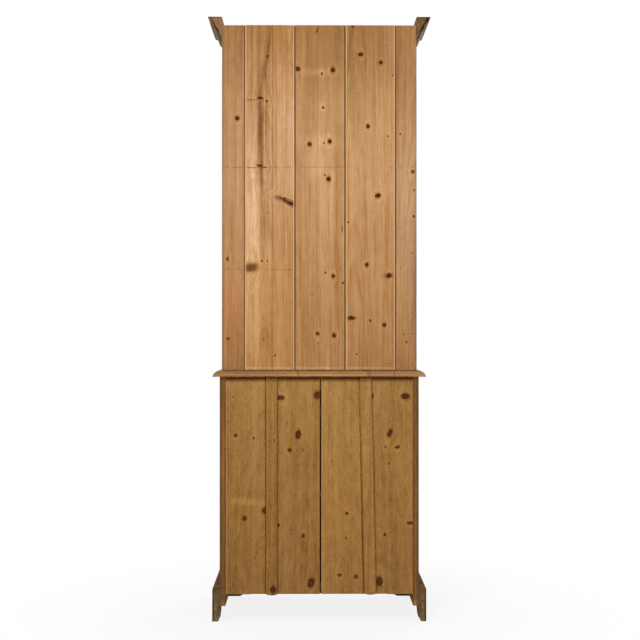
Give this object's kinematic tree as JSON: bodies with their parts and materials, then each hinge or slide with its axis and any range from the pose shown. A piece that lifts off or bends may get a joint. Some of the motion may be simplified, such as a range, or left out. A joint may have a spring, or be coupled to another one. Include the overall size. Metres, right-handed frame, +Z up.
{
  "type": "welsh dresser",
  "caption": "Tall narrow pine dresser with an open plate rack, drawers, a cupboard with panelled doors, a cornice, and a boarded back with battens",
  "frame": {"origin": "middle of the dresser's bounding box, on the floor", "axes": "+Z up; -Y towards the front with the doors and drawers, +Y towards the wall; +X to the right of a person who faces the doors"},
  "size_m": [0.772, 0.4704, 2.1],
  "materials": {
    "rack_back_pine": "bare honey-coloured knotty pine",
    "base_back_pine": "bare olive-brown knotty pine",
    "side_pine": "waxed brown pine",
    "moulding_pine": "waxed brown pine mouldings, greyer at their ends",
    "front_pine": "waxed pine",
    "inner_pine": "bare pale pine",
    "knob_wood": "turned and waxed pine",
    "hinge_brass": "dulled brass",
    "bolt_iron": "blackened iron"
  },
  "bodies": {
    "carcass": {"base_side_left": "side_pine", "base_side_right": "side_pine", "worktop": "moulding_pine", "base_floor": "inner_pine", "cupboard_shelf": "inner_pine", "back_rail": "inner_pine", "front_stile_left": "front_pine", "front_stile_right": "front_pine", "top_rail": "front_pine", "drawer_rail": "front_pine", "drawer_divider": "front_pine", "drawer_runners": "inner_pine", "stop_blocks": "inner_pine", "base_back_board_1": "base_back_pine", "base_back_board_2": "base_back_pine", "base_back_board_3": "base_back_pine", "base_back_board_4": "base_back_pine", "back_battens": "base_back_pine", "plinth_front": "moulding_pine", "plinth_side_left": "moulding_pine", "plinth_side_right": "moulding_pine", "plinth_blocks": "moulding_pine", "frame_hinge_leaves": "hinge_brass", "hinge_pins": "hinge_brass", "rack_side_left": "side_pine", "rack_side_right": "side_pine", "rack_foot_rail": "inner_pine", "rack_shelf_lower": "inner_pine", "rack_shelf_upper": "inner_pine", "rack_top": "inner_pine", "frieze": "front_pine", "cornice_front": "moulding_pine", "cornice_return_left": "moulding_pine", "cornice_return_right": "moulding_pine", "rack_back_board_1": "rack_back_pine", "rack_back_board_2": "rack_back_pine", "rack_back_board_3": "rack_back_pine", "rack_back_board_4": "rack_back_pine", "rack_back_board_5": "rack_back_pine"},
    "drawer_left": {"drawer_left_front": "front_pine", "drawer_left_sides": "inner_pine", "drawer_left_back": "inner_pine", "drawer_left_bottom": "inner_pine", "drawer_left_knob": "knob_wood"},
    "drawer_right": {"drawer_right_front": "front_pine", "drawer_right_sides": "inner_pine", "drawer_right_back": "inner_pine", "drawer_right_bottom": "inner_pine", "drawer_right_knob": "knob_wood"},
    "door_left": {"door_left_frame": "front_pine", "door_left_panel": "front_pine", "door_left_hinge_leaves": "hinge_brass", "door_left_knob": "knob_wood", "bolt_plate": "bolt_iron"},
    "bolt": {"bolt_rod": "bolt_iron"},
    "door_right": {"door_right_frame": "front_pine", "door_right_panel": "front_pine", "door_right_hinge_leaves": "hinge_brass"},
    "catch": {"catch_knob": "knob_wood", "catch_tongue": "inner_pine"}
  },
  "joints": [
    {"name": "drawer_left_slide", "type": "slide", "parent": "carcass", "child": "drawer_left", "axis": [0, -1, 0], "range_m": [0, 0.26]},
    {"name": "drawer_right_slide", "type": "slide", "parent": "carcass", "child": "drawer_right", "axis": [0, -1, 0], "range_m": [0, 0.26]},
    {"name": "door_left_hinge", "type": "hinge", "parent": "carcass", "child": "door_left", "pos_m": [-0.30025, -0.20825, 0.415], "axis": [0, 0, -1], "range_deg": [0, 170]},
    {"name": "bolt_slide", "type": "slide", "parent": "door_left", "child": "bolt", "axis": [0, 0, 1], "range_m": [0, 0.014]},
    {"name": "door_right_hinge", "type": "hinge", "parent": "carcass", "child": "door_right", "pos_m": [0.30025, -0.20825, 0.415], "axis": [0, 0, 1], "range_deg": [0, 170]},
    {"name": "catch_turn", "type": "hinge", "parent": "door_right", "child": "catch", "pos_m": [0.0282, -0.20475, 0.448], "axis": [0, 1, 0], "range_deg": [0, 90]}
  ]
}
